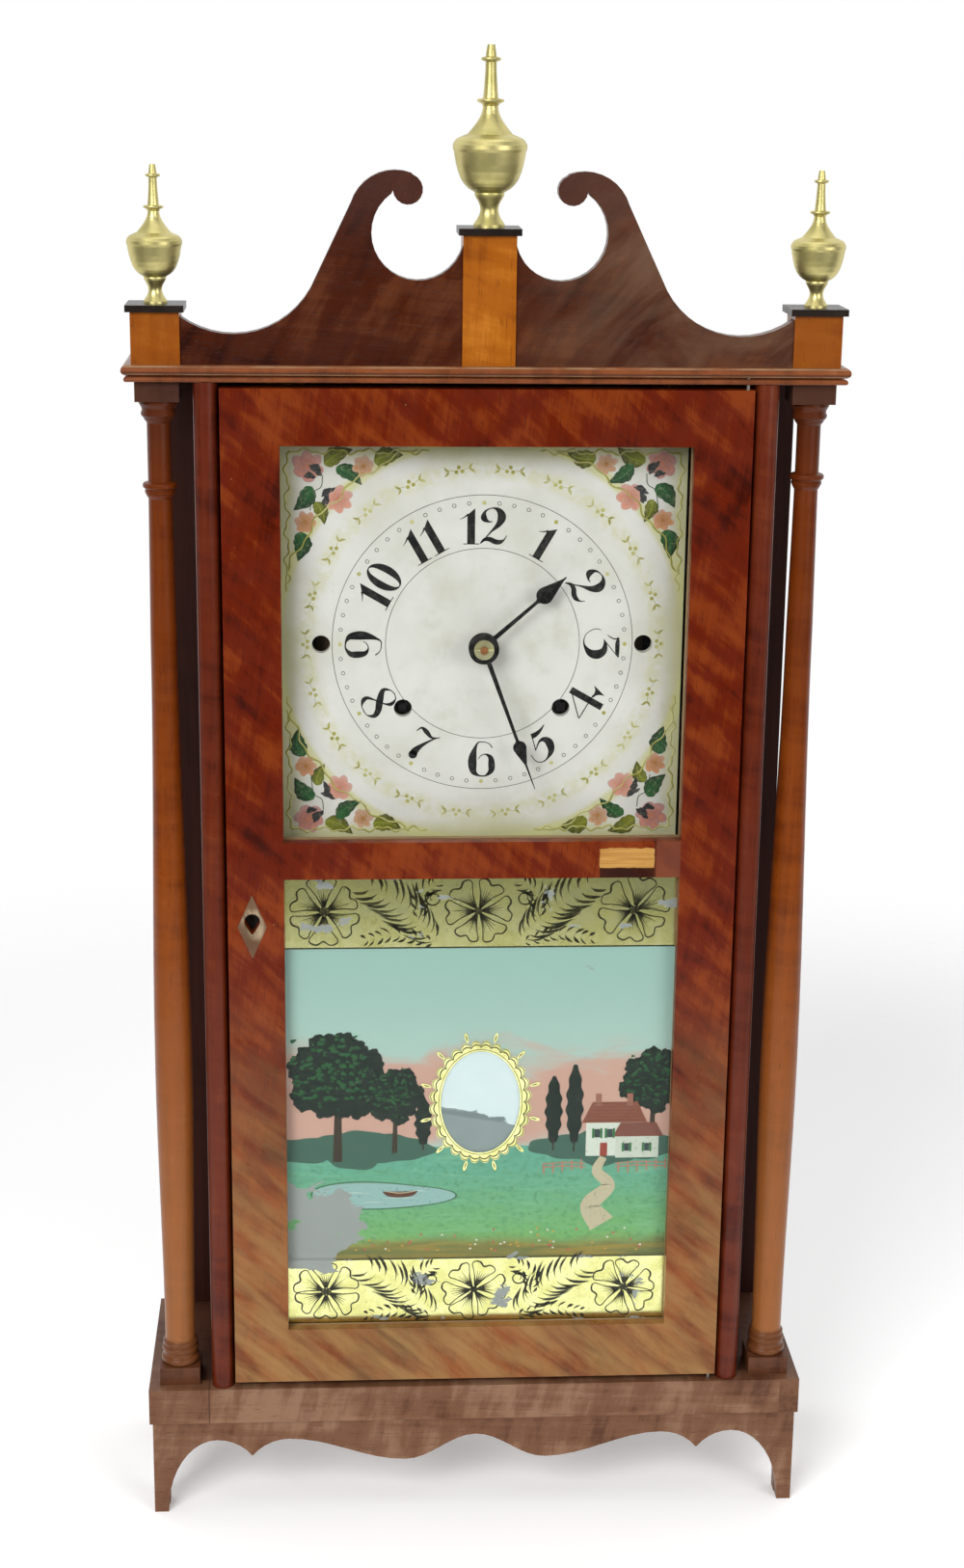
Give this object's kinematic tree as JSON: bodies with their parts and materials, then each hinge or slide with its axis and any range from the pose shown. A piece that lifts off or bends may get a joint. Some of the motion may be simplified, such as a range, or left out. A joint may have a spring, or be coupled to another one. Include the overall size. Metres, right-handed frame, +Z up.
{
  "type": "pillar and scroll clock",
  "caption": "Shelf clock with two turned pillars, a swan-neck crest with urn finials, a glazed hinged door over dial and painted tablet, and a weight-driven wooden movement.",
  "frame": {"origin": "on the floor under the middle of the clock, half way between its front and its back", "axes": "+Z up, -Y towards the viewer of the dial, +X to the right seen from the front"},
  "size_m": [0.445, 0.1374, 0.9724],
  "materials": {
    "mahogany": "old shellac polish over figured veneer",
    "light_veneer": "polished light figured veneer",
    "pillar_wood": "turned and polished",
    "backboard_wood": "stained softwood",
    "pine": "planed softwood",
    "cherry": "cut and turned hardwood",
    "clear_glass": "old window glass",
    "painted_glass": "glass painted and gilded on its back",
    "bone": "worn bone inlay",
    "dial_paint": "white ground, painted and gilded",
    "dark_steel": "blackened steel",
    "brass": "aged, softly polished",
    "iron": "rough cast",
    "bell_iron": "cast and turned",
    "wire": "drawn wire",
    "line": "twisted cord"
  },
  "bodies": {
    "case": {"shelf_board": "mahogany", "front_base_rail": "mahogany", "side_base_rails": "mahogany", "front_skirt": "mahogany", "side_skirts": "mahogany", "glue_blocks": "pine", "backboard": "backboard_wood", "case_sides": "mahogany", "front_stiles": "mahogany", "top_board": "mahogany", "cornice_moulding": "mahogany", "weight_partitions": "pine", "plinths": "light_veneer", "plinth_caps": "mahogany", "scroll_boards": "mahogany", "centre_finial": "brass", "side_finials": "brass", "columns": "pillar_wood", "column_blocks": "mahogany", "wire_pins": "wire", "dial_board": "dial_paint", "movement_frame": "pine", "bell": "bell_iron", "line_runs": "line"},
    "door": {"door_left_stile": "mahogany", "door_right_stile": "mahogany", "door_top_rail": "mahogany", "door_middle_rail": "mahogany", "door_bottom_rail": "mahogany", "dial_glass": "clear_glass", "tablet_glass": "painted_glass", "glass_beads": "pine", "keyhole_plate": "bone", "lock_case": "iron"},
    "lock_bolt": {"lock_bolt": "wire"},
    "minute_hand": {"center_wheel": "cherry", "minute_hand": "dark_steel", "hand_collet": "brass"},
    "hour_hand": {"hour_wheel": "cherry", "hour_hand": "dark_steel"},
    "minute_wheel": {"minute_wheel": "cherry"},
    "third_wheel": {"third_wheel": "cherry"},
    "escape_wheel": {"escape_wheel": "brass"},
    "time_great_wheel": {"time_great_wheel": "cherry"},
    "pendulum": {"pendulum_rod": "wire", "pendulum_bob": "brass"},
    "verge": {"verge": "wire"},
    "time_weight": {"time_weight": "iron", "time_weight_line": "line"},
    "time_drum": {"time_drum": "cherry"},
    "time_pulley": {"time_pulley": "cherry"},
    "hoop_wheel": {"hoop_wheel": "cherry"},
    "pin_wheel": {"pin_wheel": "cherry"},
    "strike_great_wheel": {"strike_great_wheel": "cherry"},
    "fly": {"fly": "cherry"},
    "hammer": {"hammer": "iron"},
    "strike_weight": {"strike_weight": "iron", "strike_weight_line": "line"},
    "strike_drum": {"strike_drum": "cherry"},
    "strike_pulley": {"strike_pulley": "cherry"}
  },
  "joints": [
    {"name": "door_swing", "type": "hinge", "parent": "case", "child": "door", "pos_m": [0.15975, -0.0614, 0.434], "axis": [0, 0, 1], "range_deg": [0, 110]},
    {"name": "lock_bolt_slide", "type": "slide", "parent": "door", "child": "lock_bolt", "axis": [-1, 0, 0], "range_m": [0, 0.0045]},
    {"name": "minute_hand_turn", "type": "hinge", "parent": "case", "child": "minute_hand", "pos_m": [0, 0.02, 0.605], "axis": [0, 1, 0], "continuous": true},
    {"name": "hour_hand_turn", "type": "hinge", "parent": "case", "child": "hour_hand", "pos_m": [0, 0.02, 0.605], "axis": [0, 1, 0], "continuous": true},
    {"name": "minute_wheel_turn", "type": "hinge", "parent": "case", "child": "minute_wheel", "pos_m": [0.012, 0.02, 0.58422], "axis": [0, 1, 0], "continuous": true},
    {"name": "third_wheel_turn", "type": "hinge", "parent": "case", "child": "third_wheel", "pos_m": [0.01995, 0.02, 0.64332], "axis": [0, 1, 0], "continuous": true},
    {"name": "escape_wheel_turn", "type": "hinge", "parent": "case", "child": "escape_wheel", "pos_m": [-0.014, 0.02, 0.66371], "axis": [0, 1, 0], "continuous": true},
    {"name": "time_great_wheel_turn", "type": "hinge", "parent": "case", "child": "time_great_wheel", "pos_m": [0.0508, 0.02, 0.563], "axis": [0, 1, 0], "continuous": true},
    {"name": "pendulum_swing", "type": "hinge", "parent": "case", "child": "pendulum", "pos_m": [-0.014, -0.018, 0.69171], "axis": [0, 1, 0], "range_deg": [-3.5, 3.5]},
    {"name": "verge_rock", "type": "hinge", "parent": "case", "child": "verge", "pos_m": [-0.014, -0.018, 0.69171], "axis": [0, 1, 0], "range_deg": [-3.6, 3.6]},
    {"name": "time_weight_lift", "type": "slide", "parent": "case", "child": "time_weight", "axis": [0, 0, 1], "range_m": [0, 0.44], "deforming": ["time_weight_line"]},
    {"name": "time_drum_turn", "type": "hinge", "parent": "case", "child": "time_drum", "pos_m": [0.0508, 0.023, 0.563], "axis": [0, 1, 0], "range_deg": [0, 1190.4]},
    {"name": "time_pulley_turn", "type": "hinge", "parent": "case", "child": "time_pulley", "pos_m": [0.12775, 0.023, 0.752], "axis": [0, 1, 0], "range_deg": [-1555.4, 0]},
    {"name": "hoop_wheel_turn", "type": "hinge", "parent": "case", "child": "hoop_wheel", "pos_m": [-0.06261, 0.02, 0.66186], "axis": [0, 1, 0], "continuous": true},
    {"name": "pin_wheel_turn", "type": "hinge", "parent": "case", "child": "pin_wheel", "pos_m": [-0.07286, 0.02, 0.62361], "axis": [0, 1, 0], "continuous": true},
    {"name": "strike_great_wheel_turn", "type": "hinge", "parent": "case", "child": "strike_great_wheel", "pos_m": [-0.0508, 0.02, 0.563], "axis": [0, 1, 0], "continuous": true},
    {"name": "fly_turn", "type": "hinge", "parent": "case", "child": "fly", "pos_m": [-0.04861, 0.02, 0.68611], "axis": [0, 1, 0], "continuous": true},
    {"name": "hammer_lift", "type": "hinge", "parent": "case", "child": "hammer", "pos_m": [-0.086, 0.02, 0.53], "axis": [0, 1, 0], "range_deg": [0, 10]},
    {"name": "strike_weight_lift", "type": "slide", "parent": "case", "child": "strike_weight", "axis": [0, 0, 1], "range_m": [0, 0.44], "deforming": ["strike_weight_line"]},
    {"name": "strike_drum_turn", "type": "hinge", "parent": "case", "child": "strike_drum", "pos_m": [-0.0508, 0.023, 0.563], "axis": [0, 1, 0], "range_deg": [-1190.4, 0]},
    {"name": "strike_pulley_turn", "type": "hinge", "parent": "case", "child": "strike_pulley", "pos_m": [-0.12775, 0.023, 0.752], "axis": [0, 1, 0], "range_deg": [0, 1555.4]}
  ],
  "couplings": [
    {"joint": "hour_hand_turn", "follows": "minute_hand_turn", "ratio": 0.083333},
    {"joint": "minute_wheel_turn", "follows": "minute_hand_turn", "ratio": -0.33333},
    {"joint": "third_wheel_turn", "follows": "minute_hand_turn", "ratio": -8},
    {"joint": "escape_wheel_turn", "follows": "minute_hand_turn", "ratio": 64},
    {"joint": "time_great_wheel_turn", "follows": "minute_hand_turn", "ratio": -0.11111},
    {"joint": "verge_rock", "follows": "pendulum_swing", "ratio": 1},
    {"joint": "time_drum_turn", "follows": "time_weight_lift", "rad_per_m": 47.059},
    {"joint": "time_pulley_turn", "follows": "time_weight_lift", "rad_per_m": -61.538},
    {"joint": "pin_wheel_turn", "follows": "hoop_wheel_turn", "ratio": -0.125},
    {"joint": "strike_great_wheel_turn", "follows": "hoop_wheel_turn", "ratio": 0.012821},
    {"joint": "fly_turn", "follows": "hoop_wheel_turn", "ratio": -6},
    {"joint": "strike_drum_turn", "follows": "strike_weight_lift", "rad_per_m": -47.059},
    {"joint": "strike_pulley_turn", "follows": "strike_weight_lift", "rad_per_m": 61.538}
  ]
}
